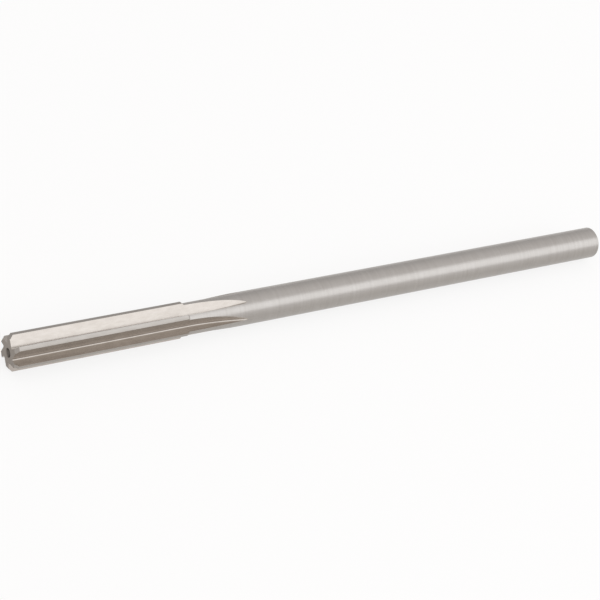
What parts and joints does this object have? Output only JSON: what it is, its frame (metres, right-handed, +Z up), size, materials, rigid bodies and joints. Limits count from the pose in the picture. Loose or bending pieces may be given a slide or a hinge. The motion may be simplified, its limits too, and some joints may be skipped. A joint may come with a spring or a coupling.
{
  "type": "machine reamer",
  "caption": "Straight-shank steel reamer with straight flutes that run out into a plain round shank, lead chamfer and centre holes in both ends.",
  "frame": {"origin": "middle of the shank's end face, on the tool's axis", "axes": "+X along the tool's axis from the cutting end to the shank end, +Z up with the tool lying at rest on two neighbouring teeth"},
  "size_m": [0.1524, 0.008, 0.0072],
  "materials": {
    "ground_steel": "fine ground, bright, no coating"
  },
  "bodies": {
    "root": {"reamer": "ground_steel"}
  },
  "joints": []
}
